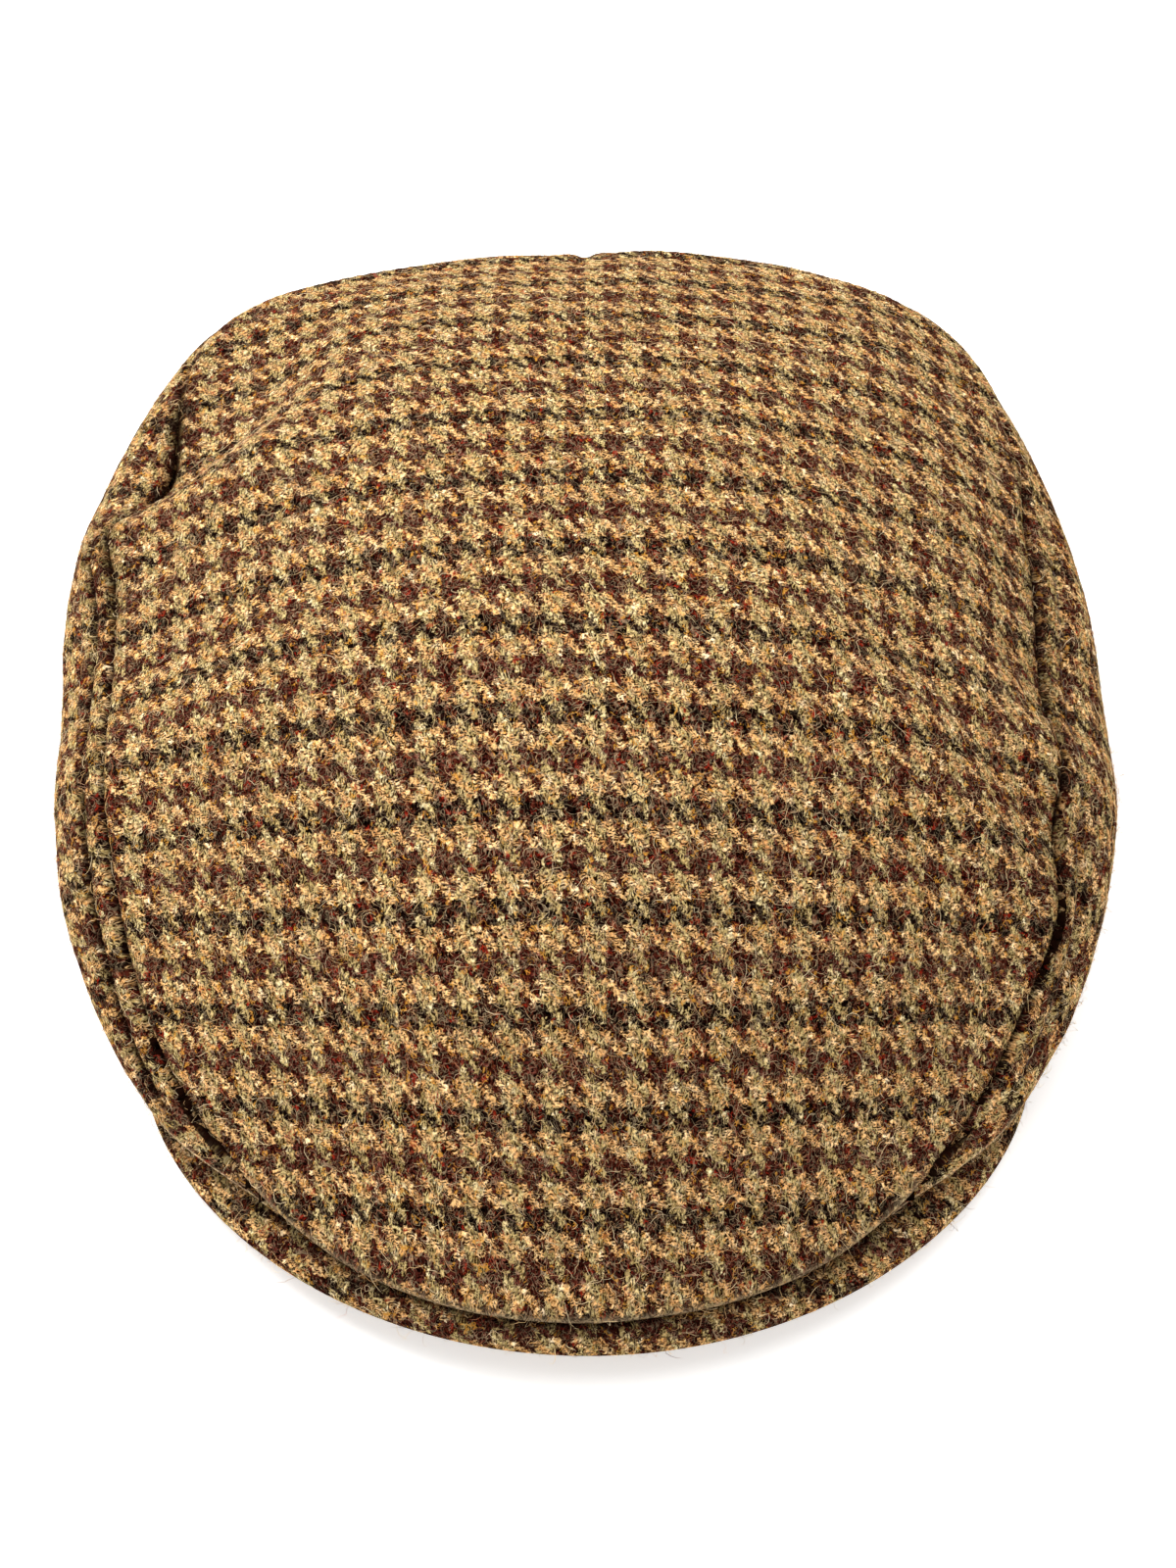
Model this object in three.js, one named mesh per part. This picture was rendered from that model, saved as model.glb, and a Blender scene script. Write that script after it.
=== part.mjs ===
// A tweed flat cap: a one-piece top panel, two side panels that meet at the centre back, and a stiff peak.
// Millimetres, +Z up. The rim rests on z = 0 and the peak points to -Y.
import * as THREE from "three";

// Driving dimensions
const CROWN_CENTRE_Y = 3.2; // the highest point of the crown, measured from the middle of the cap's length
const CROWN_TOP = 89;
const DOME_POWER = 2.28; // how flat the top panel stays before it falls away towards its seam
const CLOTH = 2.2; // tweed with its interlining
const SEAM_GAP = 0.36; // clearance kept between two pieces that are sewn together
const CORNER_AZIMUTH = 24; // the side seams run into the front edge this far round from the front
const SIDE_START_AZIMUTH = 25.6; // where a side panel is first tall enough to be a strip

const PEAK_RADIUS = 101;
const PEAK_CENTRE = { x: 0.6, y: -36.5 };
const PEAK_HALF_ANGLE = 88;
const PEAK_THICKNESS = 3.6;
const PEAK_ARCH = 9.5; // the middle of the peak stands this far above its two ends
const PEAK_FALL = 0.07; // slope down from the head opening to the outer edge
const PEAK_TIP_WIDTH = 0.12; // share of the crescent's width that is left at its ends
const PEAK_TIP_POWER = 12; // how late the crescent narrows towards its ends
const PEAK_END_AZIMUTH = 74;
const RIM_AZIMUTH = 92; // from here round the back the rim lies flat on the table

const OPENING = { halfWidth: 84, halfLength: 77, y: -15 }; // front half of the head opening's oval
const OPENING_HALF_ANGLE = 84;
const RIM_FADE_REACH = 1.6; // below this the folds in the side panels die away towards the rim
// How far a side panel's lower half follows its overhang and swell outwards, and its rise upwards
const SIDE_TUCK = { overhang: 0.4, swell: 1.1, rise: 0.26 };
const SET_OVER = 1; // the left side swells further out, so the cap is set over to stand centred on its origin
// At the left back corner the top panel hangs over and its seam lies lower down the cloth
const SEAM_SLIP = { azimuth: -148, width: 14, reach: 0.15 };

// One row for each section of the crown, by its azimuth from the front in degrees: distance of the rim from
// the crown's centre, how far the seam stands outside the rim and above it, and how far the side panel swells.
const SECTIONS = [
  { azimuth: 0, rim: 136, overhang: 0, rise: 0, swell: 0 },
  { azimuth: 24, rim: 130, overhang: 0, rise: 0, swell: 1 },
  { azimuth: 45, rim: 113, overhang: 7.2, rise: 15.7, swell: 9 },
  { azimuth: 70, rim: 92, overhang: 15.7, rise: 38.5, swell: 20.3 },
  { azimuth: 95, rim: 86, overhang: 17, rise: 52.6, swell: 21.4 },
  { azimuth: 120, rim: 88, overhang: 26.5, rise: 56.3, swell: 17.5 },
  { azimuth: 145, rim: 96, overhang: 36, rise: 56, swell: 14 },
  { azimuth: 180, rim: 101, overhang: 28, rise: 57, swell: 14 },
];

// One row for each dent, fold or swelling of the cloth. It runs from one place to another, each given by its
// azimuth and its reach: 0 at the crown's centre, 1 on the seam, 2 on the rim. Positive azimuth is the +X side.
const FOLDS = [
  { name: "back corner dent", from: [-121, 0.98], to: [-137, 0.88], width: 14, lift: -9 },
  { name: "ridge before the dent", from: [-109, 1.05], to: [-122, 0.72], width: 9, lift: 5 },
  { name: "left back swelling", from: [-105, 1.35], to: [-140, 1.2], width: 22, lift: 4.5 },
  { name: "left back slack", from: [-156, 1.02], to: [-172, 1.02], width: 15, lift: -1.8 },
  { name: "right back lobe", from: [138, 1.0], to: [146, 0.9], width: 15, lift: 2.5 },
  { name: "right seam hollow", from: [87, 1.0], to: [112, 1.0], width: 12, lift: -4 },
  { name: "right diagonal valley", from: [80, 0.66], to: [70, 0.94], width: 10, lift: -4 },
  { name: "right diagonal ridge", from: [72, 0.66], to: [61, 0.94], width: 10, lift: 3 },
  { name: "front knuckle", from: [-22, 0.66], to: [22, 0.66], width: 12, lift: 1.5 },
  { name: "centre back notch", from: [180, 0.96], to: [180, 1.15], width: 6, lift: -1.6 },
];

// Mesh steps
const TOP_STEPS = 40;
const SIDE_STEPS = 36;
const SIDE_ROWS = 10;
const PEAK_STEPS = 36;
const PEAK_ROWS = 6;
const TOP_CROWDING = 0.2; // the top panel's rows lie closer together towards its seam
const SIDE_CROWDING = 1.3; // and so do the side panels' rows

const TWEED = { color: 0x8a6a48, roughness: 0.95, metalness: 0 };

const radians = THREE.MathUtils.degToRad;
const smooth = THREE.MathUtils.smoothstep;
const lerp = THREE.MathUtils.lerp;

// The sections' columns as smooth functions of the azimuth, level at the front and at the back
const COLUMNS = ["rim", "overhang", "rise", "swell"];
const sections = new THREE.CubicInterpolant(
  SECTIONS.map((row) => row.azimuth),
  SECTIONS.flatMap((row) => COLUMNS.map((column) => row[column])),
  COLUMNS.length,
);
sections.settings = { endingStart: THREE.ZeroSlopeEnding, endingEnd: THREE.ZeroSlopeEnding };

function sectionAt(azimuth) {
  const [rim, overhang, rise, swell] = sections.evaluate(Math.abs(azimuth));
  return { rim, overhang: Math.max(overhang, 0), rise: Math.max(rise, 0), swell: Math.max(swell, 0) };
}

// The plan position at a distance from the crown's centre
function planPoint(azimuth, distance, z) {
  const angle = radians(azimuth);
  return new THREE.Vector3(distance * Math.sin(angle), CROWN_CENTRE_Y - distance * Math.cos(angle), z);
}

// The peak is arched from side to side and slopes down a little towards its outer edge
function peakUnderside(x, y) {
  const across = Math.min(Math.abs(x - PEAK_CENTRE.x) / PEAK_RADIUS, 1);
  const behindEdge = y - (PEAK_CENTRE.y - PEAK_RADIUS);
  return (PEAK_ARCH + PEAK_FALL * behindEdge) * (1 - across * across);
}

function peakTop(x, y) {
  return peakUnderside(x, y) + PEAK_THICKNESS;
}

// The crown's lower edge lies on the peak in front and on the table behind
function rimHeight(azimuth, x, y) {
  const onPeak = 1 - smooth(Math.abs(azimuth), PEAK_END_AZIMUTH, RIM_AZIMUTH);
  return (peakTop(x, y) + SEAM_GAP) * onPeak;
}

function rimPoint(azimuth) {
  const point = planPoint(azimuth, sectionAt(azimuth).rim, 0);
  return point.setZ(rimHeight(azimuth, point.x, point.y));
}

function domePoint(azimuth, reach) {
  const { rim, overhang, rise } = sectionAt(azimuth);
  const seamHeight = rimPoint(azimuth).z + rise;
  const drop = (CROWN_TOP - seamHeight) * reach ** DOME_POWER;
  return planPoint(azimuth, (rim + overhang) * reach, CROWN_TOP - drop);
}

// A side panel leaves the seam along the dome's slope, swells outwards and comes back in to the rim
function sidePoint(azimuth, down) {
  const { rim, overhang, rise, swell } = sectionAt(azimuth);
  const rimZ = rimPoint(azimuth).z;
  const seamRadius = rim + overhang;
  const seamZ = rimZ + rise;
  const slope = (DOME_POWER * (CROWN_TOP - seamZ)) / seamRadius;
  const profile = new THREE.CubicBezierCurve(
    new THREE.Vector2(seamRadius, seamZ),
    new THREE.Vector2(seamRadius + swell, seamZ - swell * slope),
    new THREE.Vector2(
      rim + SIDE_TUCK.overhang * overhang + SIDE_TUCK.swell * swell,
      rimZ + SIDE_TUCK.rise * rise,
    ),
    new THREE.Vector2(rim, rimZ),
  );
  const point = profile.getPoint(down);
  return planPoint(azimuth, point.x, point.y);
}

// The folds are laid out on a flat disc whose radius is the reach
const FOLD_DISC = 110;
function discPoint([azimuth, reach]) {
  const angle = radians(azimuth);
  return new THREE.Vector3(Math.sin(angle), -Math.cos(angle), 0).multiplyScalar(FOLD_DISC * reach);
}

const foldLines = FOLDS.map((fold) => ({
  ...fold,
  line: new THREE.Line3(discPoint(fold.from), discPoint(fold.to)),
}));

function foldLift(azimuth, reach) {
  const place = discPoint([azimuth, reach]);
  const nearest = new THREE.Vector3();
  const keepRimFlat = 1 - smooth(reach, RIM_FADE_REACH, 2);
  let lift = 0;
  for (const fold of foldLines) {
    fold.line.closestPointToPoint(place, true, nearest);
    lift += fold.lift * Math.exp(-((nearest.distanceTo(place) / fold.width) ** 2));
  }
  return lift * keepRimFlat;
}

// The way out of the cloth at a point: from inside the head hollow, level at the rim
const HOLLOW_HEIGHT = 20;
function outward(point, reach) {
  const core = new THREE.Vector3(0, CROWN_CENTRE_Y, HOLLOW_HEIGHT * Math.min(1, 2 - reach));
  return point.clone().sub(core).normalize();
}

// The outer face of the crown, top panel and side panels alike, by azimuth and reach
function crownPoint(azimuth, reach) {
  const point = reach <= 1 ? domePoint(azimuth, reach) : sidePoint(azimuth, reach - 1);
  return point.addScaledVector(outward(point, reach), foldLift(azimuth, reach));
}

function seamReach(azimuth) {
  return 1 + SEAM_SLIP.reach * Math.exp(-(((azimuth - SEAM_SLIP.azimuth) / SEAM_SLIP.width) ** 2));
}

function insideOf(point, azimuth, reach, onRim) {
  const way = outward(point, reach);
  if (onRim) way.setZ(0).normalize();
  const inner = point.clone().addScaledVector(way, -CLOTH);
  if (onRim) inner.setZ(rimHeight(azimuth, inner.x, inner.y));
  return inner;
}

// A closed shell from an outer and an inner net of points of the same size
function shellGeometry(outer, inner) {
  const rows = outer.length;
  const columns = outer[0].length;
  const points = [...outer.flat(), ...inner.flat()];
  const at = (net, i, j) => net * rows * columns + i * columns + j;
  const triangles = [];
  const quad = (a, b, c, d) => triangles.push(a, b, c, a, c, d);
  for (let i = 0; i < rows - 1; i++) {
    for (let j = 0; j < columns - 1; j++) {
      const corners = [[i, j], [i + 1, j], [i + 1, j + 1], [i, j + 1]];
      const inFirstHalf = i < (rows - 1) / 2 === j < (columns - 1) / 2;
      if (!inFirstHalf) corners.push(corners.shift());
      quad(...corners.map(([row, column]) => at(0, row, column)));
      quad(...corners.reverse().map(([row, column]) => at(1, row, column)));
    }
  }
  const border = [];
  for (let i = 0; i < rows - 1; i++) border.push([i, 0]);
  for (let j = 0; j < columns - 1; j++) border.push([rows - 1, j]);
  for (let i = rows - 1; i > 0; i--) border.push([i, columns - 1]);
  for (let j = columns - 1; j > 0; j--) border.push([0, j]);
  border.forEach(([i, j], k) => {
    const [nextI, nextJ] = border[(k + 1) % border.length];
    quad(at(0, nextI, nextJ), at(0, i, j), at(1, i, j), at(1, nextI, nextJ));
  });
  const geometry = new THREE.BufferGeometry().setFromPoints(points);
  geometry.setIndex(triangles);
  geometry.computeVertexNormals();
  return geometry;
}

// A net of points from a function of two shares, each from 0 to 1
function netOf(rows, columns, pointAt) {
  return Array.from({ length: rows + 1 }, (_, i) =>
    Array.from({ length: columns + 1 }, (_, j) => pointAt(i / rows, j / columns)),
  );
}

// The top panel: a square net drawn out to a round one, so that no point is a pole
function topPanel() {
  const place = (across, along) => {
    const a = 2 * across - 1;
    const b = 2 * along - 1;
    const x = a * Math.sqrt(1 - (b * b) / 2);
    const y = b * Math.sqrt(1 - (a * a) / 2);
    const azimuth = THREE.MathUtils.radToDeg(Math.atan2(x, -y));
    const onEdge = Math.max(Math.abs(a), Math.abs(b)) > 1 - 1e-6;
    const onFront = Math.abs(azimuth) <= CORNER_AZIMUTH;
    const edgeReach = onFront ? 1 : seamReach(azimuth) - SEAM_GAP / 2 / sectionAt(azimuth).rim;
    const share = Math.min(Math.hypot(x, y), 1);
    const crowded = share * (1 + TOP_CROWDING * (1 - share * share));
    return { azimuth, reach: crowded * edgeReach, onRim: onEdge && onFront };
  };
  const outer = netOf(TOP_STEPS, TOP_STEPS, (across, along) => {
    const { azimuth, reach } = place(across, along);
    return crownPoint(azimuth, reach);
  });
  const inner = netOf(TOP_STEPS, TOP_STEPS, (across, along) => {
    const { azimuth, reach, onRim } = place(across, along);
    return insideOf(crownPoint(azimuth, reach), azimuth, reach, onRim);
  });
  return shellGeometry(outer, inner);
}

// A side panel, from the front corner round to the centre back and from the seam down to the rim
function sidePanel(side) {
  const endAzimuth = 180 - THREE.MathUtils.radToDeg(SEAM_GAP / 2 / sectionAt(180).rim);
  const place = (round, down) => {
    const azimuth = side * lerp(SIDE_START_AZIMUTH, endAzimuth, round);
    const { rise, swell } = sectionAt(azimuth);
    const topGap = SEAM_GAP / 2 / Math.hypot(rise, swell);
    return { azimuth, reach: lerp(seamReach(azimuth) + topGap, 2, down ** SIDE_CROWDING), onRim: down === 1 };
  };
  const outer = netOf(SIDE_STEPS, SIDE_ROWS, (round, down) => {
    const { azimuth, reach } = place(round, down);
    return crownPoint(azimuth, reach);
  });
  const inner = netOf(SIDE_STEPS, SIDE_ROWS, (round, down) => {
    const { azimuth, reach, onRim } = place(round, down);
    return insideOf(crownPoint(azimuth, reach), azimuth, reach, onRim);
  });
  return side > 0 ? shellGeometry(inner, outer) : shellGeometry(outer, inner);
}

// The peak: a crescent between the head opening and an arc, with narrow ends
function peak() {
  const planAt = (round, out) => {
    const turn = 2 * round - 1;
    const openingAngle = radians(OPENING_HALF_ANGLE * turn);
    const edgeAngle = radians(PEAK_HALF_ANGLE * turn);
    const width = lerp(1, PEAK_TIP_WIDTH, Math.abs(turn) ** PEAK_TIP_POWER);
    const innerX = OPENING.halfWidth * Math.sin(openingAngle);
    const innerY = OPENING.y - OPENING.halfLength * Math.cos(openingAngle);
    const outerX = PEAK_CENTRE.x + PEAK_RADIUS * Math.sin(edgeAngle);
    const outerY = PEAK_CENTRE.y - PEAK_RADIUS * Math.cos(edgeAngle);
    return { x: lerp(innerX, outerX, out * width), y: lerp(innerY, outerY, out * width) };
  };
  const top = netOf(PEAK_STEPS, PEAK_ROWS, (round, out) => {
    const { x, y } = planAt(round, out);
    return new THREE.Vector3(x, y, peakTop(x, y));
  });
  const underside = netOf(PEAK_STEPS, PEAK_ROWS, (round, out) => {
    const { x, y } = planAt(round, out);
    return new THREE.Vector3(x, y, peakUnderside(x, y));
  });
  return shellGeometry(underside, top);
}

function piece(name, geometry) {
  const mesh = new THREE.Mesh(geometry, new THREE.MeshStandardMaterial(TWEED));
  mesh.name = name;
  return mesh;
}

const cap = new THREE.Group();
cap.position.x = SET_OVER;
cap.add(piece("crown_top", topPanel()));
cap.add(piece("side_left", sidePanel(-1)));
cap.add(piece("side_right", sidePanel(1)));
cap.add(piece("peak", peak()));

export default cap;
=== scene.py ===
"""A tweed flat cap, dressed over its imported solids: woven panels, sewn seams and the wool's stray fibres."""

import math

import bmesh
import bpy
import numpy as np
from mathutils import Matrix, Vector, noise
from mathutils.bvhtree import BVHTree
from mathutils.kdtree import KDTree


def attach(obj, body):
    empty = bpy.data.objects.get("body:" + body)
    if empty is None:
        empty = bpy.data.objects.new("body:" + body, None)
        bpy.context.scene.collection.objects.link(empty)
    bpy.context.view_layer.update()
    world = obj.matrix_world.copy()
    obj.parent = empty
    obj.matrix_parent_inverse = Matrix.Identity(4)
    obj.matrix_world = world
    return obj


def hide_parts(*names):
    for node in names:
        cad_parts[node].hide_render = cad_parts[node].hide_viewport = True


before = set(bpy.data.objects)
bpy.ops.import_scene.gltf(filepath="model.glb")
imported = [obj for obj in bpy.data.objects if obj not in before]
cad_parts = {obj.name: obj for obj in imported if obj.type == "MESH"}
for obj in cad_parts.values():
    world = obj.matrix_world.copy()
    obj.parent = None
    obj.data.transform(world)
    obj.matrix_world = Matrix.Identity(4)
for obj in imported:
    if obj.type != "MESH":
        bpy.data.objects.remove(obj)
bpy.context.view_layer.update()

MM = 0.001

# The cap's own frame: its middle line, and a point inside the head hollow
MIDDLE_X = 1.0 * MM
CROWN_CENTRE = Vector((MIDDLE_X, 3.2 * MM, 89 * MM))
HOLLOW = Vector((MIDDLE_X, 3.2 * MM, 20 * MM))
SKIN_FACING = 0.2  # faces that look away from the hollow by this much are the cloth's outer face
RIM_FACING = -0.985  # faces that look further down than this are the rim's lower edge

# A side panel's grid: azimuths from the front, and the elevations that are tried to find its seam and its rim
SIDE_FIRST = 30
SIDE_LAST = 179.88
SIDE_STEPS = 44
SIDE_ROWS = 10
SIDE_CROWDING = 1.3  # rows lie closer together towards the seam
SIDE_LOOKS = np.radians(np.arange(-20, 35, 0.03))
LOOK_FROM = 300 * MM  # each look starts this far out from the hollow
LOOK_DEPTH = 290 * MM

# Cloth
CLOTH = 2.2 * MM
REPEAT = 8  # yarns in one repeat of the check, each way
END_PITCH = 8.45 / REPEAT * MM  # warp yarns across the cap
PICK_PITCH = 10.05 / REPEAT * MM  # weft yarns along the cap
CROWN_STRIP = 5 * MM  # the crown's grain is set by its middle, this far to each side
SIDE_STRIP = 45 * MM  # and a side panel's by its middle, this far to the front and the back
SIDE_MIDDLE_Y = 5 * MM
HEM_ROUND = 0.8 * MM
HEM_CLEAR = 4 * MM  # the hem is rounded where it is this far from the crown's seam
HEM_BACK_CLEAR = 2 * MM  # and this far from the back seam
FRONT_TUCK = 3 * MM  # how deep a side panel's front end is tucked in
BLOCKING = 4.75 * MM  # how far the crown's weft is drawn out of line
BLOCKED_HALF = 80 * MM  # at this distance from the middle, each way
SIDE_FULLNESS = 0.6 * MM  # what the smoothing of a side panel's net takes off it
FULL_BETWEEN = (4 * MM, 14 * MM)  # the fullness is given back from here to there below the seam
EVEN_RIM = 18 * MM  # the rim is even, and the panel is wholly uneven from this height up

# One row for each unevenness of the cloth: its height and its size
CROWN_RIPPLES = ((0.7 * MM, 34 * MM), (0.25 * MM, 11 * MM))
SIDE_RIPPLES = ((0.6 * MM, 30 * MM), (0.25 * MM, 10 * MM))

# Seams, measured across them
CROWN_ROLL = 2.3 * MM  # the length of cloth that turns down into the seam, on the crown
SIDE_ROLL = 1.7 * MM  # and on a side panel
LIP_ROLL = 3.8 * MM  # the length that rolls under along the front edge
LIP_TURN = math.radians(165)
LIP_LIFT = 1.0 * MM
LIP_SPREAD = 8 * MM
ROLL_STRETCH = 20 * MM  # the cloth gives over this width to feed a roll
TURN_EVENING = 6  # how far a roll turns is evened out over so many points on either side
SEAM_GRIP = 0.6 * MM  # a side panel's edge is laid on the seam's line over this width
SEWN_ON = 0.8 * MM  # and drawn onto the crown's shaped edge over this width
PUFF = 0.4 * MM  # cloth stands up beside a seam
PUFF_PLACE = 4 * MM
PUFF_WIDTH = 2.6 * MM
PUCKER = 0.1 * MM  # and is puckered from stitch to stitch
PUCKER_PLACE = 2 * MM
WELT_LIFT = 1.1 * MM
WELT_HALF = 3.1 * MM
STITCH_LINE = 6.3 * MM
STITCH_DEPTH = 1.3 * MM
STITCH_HALF = 1.3 * MM
STITCH_PUCKER = 0.15  # the share of the groove's depth that comes and goes with the stitches
STITCH_PITCH = 3.3 * MM
STITCH_LENGTH = 2.3 * MM
STITCH_SINK = 0.05 * MM
STITCH_STRIP = 0.4 * MM  # the groove's bottom, this far to each side of its line
STITCH_PUFF = 0.5 * MM  # cloth stands up below the stitched line too
STITCH_PUFF_PLACE = 2.6 * MM
STITCH_PUFF_WIDTH = 2 * MM
THREAD_RADIUS = 0.2 * MM
BACK_GROOVE = 0.9 * MM  # the seams at the back are drawn in by this much
BACK_HALF = 1.8 * MM
CENTRE_HALF = 1.6 * MM
BACK_LAP = 0.5 * MM  # and the two side panels lap past each other there
BACK_Y = 60 * MM  # points behind this are near the back seam

# Azimuths in degrees from the front, and ranges of them over which something fades out or in
BACK_FROM = 118  # round the back, from here on, the seam is only drawn in
BACK_BLEND = 10
NET_CORNER = 44.6  # the two front corners of the crown's net, which are smoothed
CORNER_SPAN = 3.5
CORNER_DEPTH = 4.5 * MM  # this far in from the seam
CORNER_ROUNDS = 8
STITCH_FIRST = 46
STITCH_LAST = 110
LIP_END = (28, 36)  # the crown's rolled lip
TUCK_END = (30, 44)  # the tucked front end of a side panel
FOLD_END = (44, 56)  # its fold, which has a painted highlight
GROOVE_START = (38, 50)
GROOVE_END = (106, 118)
NET_END = (114, 126)  # up to here a side panel's net reaches the crown's edge
JOIN_END = (120, 130)  # and up to here its shaped edge does
LEFT_LINE_END = (130, 140)  # the dark line of the seam
RIGHT_LINE_END = (116, 128)
LEFT_DITCH = ((92, 102), (126, 136))
RIGHT_DITCH = ((50, 64), (104, 118))

# Painted shades
SEAM_CORE = 1.1 * MM  # the painted shade along a seam's line
STITCH_CORE = 1.2 * MM  # and of a stitched groove
HALO = 2.2  # a softer painted shade beside it is so many times wider
HALO_SHADE = 0.4
LIP_BOLDNESS = 1.2  # how much wider the painted shade is under the lip
LIP_CREST = 0.6 * LIP_ROLL  # where the lip's fold is
DITCH_WIDTH = 3.2 * MM  # the painted shade on a side panel beside the ditch
DITCH_SHADE = 0.8
LIP_HIGHLIGHT = 1.0 * MM  # the lip's fold has a painted highlight over this width
FOLD_FACING = -0.25  # a side panel's front has a painted highlight where its normal's Z is about this
FOLD_SPREAD = 0.22

# The peak, with painted shadow under the cap's lower edge
PEAK_CENTRE = Vector((MIDDLE_X, -36.5 * MM, 0))
PEAK_FULLNESS = 0.7 * MM  # what the rounding of the peak's edge takes off it
PEAK_EDGE = 3.6 * MM  # the weave goes down over the edge and on below by this much
PEAK_ROUND = 1.5 * MM
PEAK_SHADE = 0.65
LIP_SHADE = 5 * MM  # how far the painted shadow of the cap's lower edge reaches onto the peak
SHADE_LOSS = 0.6  # the share of it that is lost towards the sides
SHADE_LOST = (20, 45)  # between these azimuths
FRONT_RIM = 32  # the crown's own edge is the lower one up to this azimuth

SEED = 7


def link(obj):
    bpy.context.scene.collection.objects.link(obj)
    return obj


def new_object(name, mesh):
    return link(bpy.data.objects.new(name, mesh))


def bell(distance, width):
    return np.exp(-((distance / width) ** 2))


def fade(value, start, end):
    share = np.clip((value - start) / (end - start), 0, 1)
    return share * share * (3 - 2 * share)


# Nets of cloth


def top_net(node):
    """The top panel's outward faces, taken from its solid as a net of quads, finer where they roll over"""
    net = bmesh.new()
    net.from_mesh(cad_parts[node].data)
    bmesh.ops.remove_doubles(net, verts=net.verts, dist=0.001 * MM)
    inward = [
        face
        for face in net.faces
        if face.normal.dot((face.calc_center_median() - HOLLOW).normalized()) < SKIN_FACING
    ]
    bmesh.ops.delete(net, geom=inward, context="FACES")
    bmesh.ops.join_triangles(
        net,
        faces=net.faces,
        angle_face_threshold=math.radians(60),
        angle_shape_threshold=math.pi,
        topology_influence=2,
    )
    border = {vert for vert in net.verts if vert.is_boundary}
    spokes = [edge for edge in net.edges if len(border.intersection(edge.verts)) == 1]
    azimuths = azimuth_of(np.array([edge.verts[0].co[:] for edge in spokes]))
    spokes = [edge for edge, azimuth in zip(spokes, azimuths) if azimuth < BACK_FROM]
    bmesh.ops.subdivide_edges(net, edges=spokes, cuts=2, use_grid_fill=True, quad_corner_type="INNER_VERT")
    return net


def way_out(azimuth, elevation):
    level = math.cos(elevation)
    return Vector((math.sin(azimuth) * level, -math.cos(azimuth) * level, math.sin(elevation)))


def side_net(node, side):
    """A grid laid over the outer face of a side panel's solid, from the crown's seam down to the rim"""
    solid = bmesh.new()
    solid.from_mesh(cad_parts[node].data)
    tree = BVHTree.FromBMesh(solid)
    solid.free()

    def outer_point(azimuth, elevation):
        way = way_out(azimuth, elevation)
        place, normal, _, _ = tree.ray_cast(HOLLOW + way * LOOK_FROM, -way, LOOK_DEPTH)
        return place if place and normal.z > RIM_FACING else None

    net = bmesh.new()
    bmesh.ops.create_grid(net, x_segments=SIDE_STEPS, y_segments=SIDE_ROWS, size=1)
    columns = {}
    for vert in net.verts:
        columns.setdefault(round((vert.co.x + 1) / 2 * SIDE_STEPS), []).append(vert)
    for step, column in columns.items():
        degrees = SIDE_FIRST + (SIDE_LAST - SIDE_FIRST) * (step / SIDE_STEPS)
        azimuth = math.radians(degrees) * side
        looks = (outer_point(azimuth, angle) for angle in SIDE_LOOKS)
        seen = [place for place in looks if place]
        for vert in column:
            down = ((1 - vert.co.y) / 2) ** SIDE_CROWDING
            vert.co = seen[round((len(seen) - 1) * (1 - down))]
            if down == 0:
                vert.co = vert.co.lerp(seam.nearest(vert.co), 1 - fade(degrees, *NET_END))
            if step == SIDE_STEPS:
                vert.co.x = MIDDLE_X
    bmesh.ops.recalc_face_normals(net, faces=net.faces)
    net.faces.ensure_lookup_table()
    first = net.faces[0]
    if first.normal.dot(first.calc_center_median() - HOLLOW) < 0:
        bmesh.ops.reverse_faces(net, faces=net.faces)
    return net


def lay_flat(obj):
    """Unwraps the net with little stretch, as the cloth was before it was shaped"""
    obj.data.uv_layers.new(name="Weave")
    bpy.context.view_layer.objects.active = obj
    obj.select_set(True)
    bpy.ops.object.mode_set(mode="EDIT")
    bpy.ops.mesh.select_all(action="SELECT")
    bpy.ops.uv.unwrap(method="MINIMUM_STRETCH", fill_holes=False, iterations=60)
    bpy.ops.object.mode_set(mode="OBJECT")
    obj.select_set(False)


def read(items, key, width=None, kind=float):
    """A value, or a row of `width` values, for each item"""
    values = np.empty((len(items), width) if width else len(items), dtype=kind)
    items.foreach_get(key, values.ravel())
    return values


def points_of(mesh):
    return read(mesh.vertices, "co", 3)


def normals_of(mesh):
    return read(mesh.vertex_normals, "vector", 3)


def corners_of(mesh):
    return read(mesh.loops, "vertex_index", kind=np.int32)


def corner_points(mesh):
    """Each face corner's place and its place on the flat cloth"""
    return points_of(mesh)[corners_of(mesh)], read(mesh.uv_layers["Weave"].uv, "vector", 2)


def flat_area(mesh, flat):
    area = 0.0
    for face in mesh.polygons:
        loop = flat[list(face.loop_indices)]
        x, y = loop[:, 0], loop[:, 1]
        area += 0.5 * abs(np.dot(x, np.roll(y, -1)) - np.dot(y, np.roll(x, -1)))
    return area


def set_grain(mesh, strip, shift, blocking):
    """Turns and sizes the flat cloth: its warp runs along the strip, and one unit is one yarn"""
    points, flat = corner_points(mesh)
    chosen = strip(points)
    y = points[chosen, 1] - points[chosen, 1].mean()
    middle = flat[chosen].mean(axis=0)
    way = ((flat[chosen] - middle) * y[:, None]).sum(axis=0)
    way /= np.linalg.norm(way)
    size = math.sqrt(sum(face.area for face in mesh.polygons) / flat_area(mesh, flat))
    across = np.array([way[1], -way[0]])
    flat = flat - middle
    ends = flat @ across * size / END_PITCH + shift[0]
    picks = flat @ way * size / PICK_PITCH + shift[1] + blocking * blocked(points) / PICK_PITCH
    mesh.uv_layers["Weave"].uv.foreach_set("vector", np.column_stack([ends, picks]).ravel())


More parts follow.
